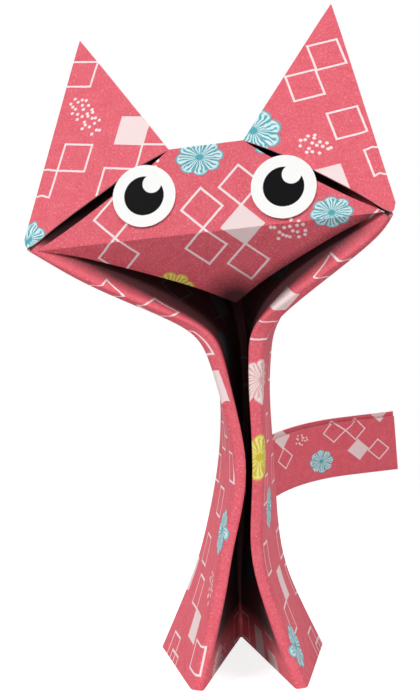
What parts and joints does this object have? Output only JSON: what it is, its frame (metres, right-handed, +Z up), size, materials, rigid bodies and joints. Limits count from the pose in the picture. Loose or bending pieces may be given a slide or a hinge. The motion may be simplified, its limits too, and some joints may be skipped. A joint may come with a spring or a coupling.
{
  "type": "origami cat",
  "caption": "Origami cat folded from a printed paper sheet: pleated standing body, wide creased face, pointed ears, curled strip tail and round eye stickers.",
  "frame": {"origin": "foot of the centre crease, on the level the sheet stands on", "axes": "+Z up, -Y the way the body faces, +X to the right of someone looking at its front"},
  "size_m": [0.081, 0.0677, 0.1303],
  "materials": {
    "printed_paper": "matt, printed on one side",
    "sticker_paper": "smooth, slightly glossy"
  },
  "bodies": {
    "root": {"folded_sheet": "printed_paper", "left_eye_sticker": "sticker_paper", "right_eye_sticker": "sticker_paper"}
  },
  "joints": []
}
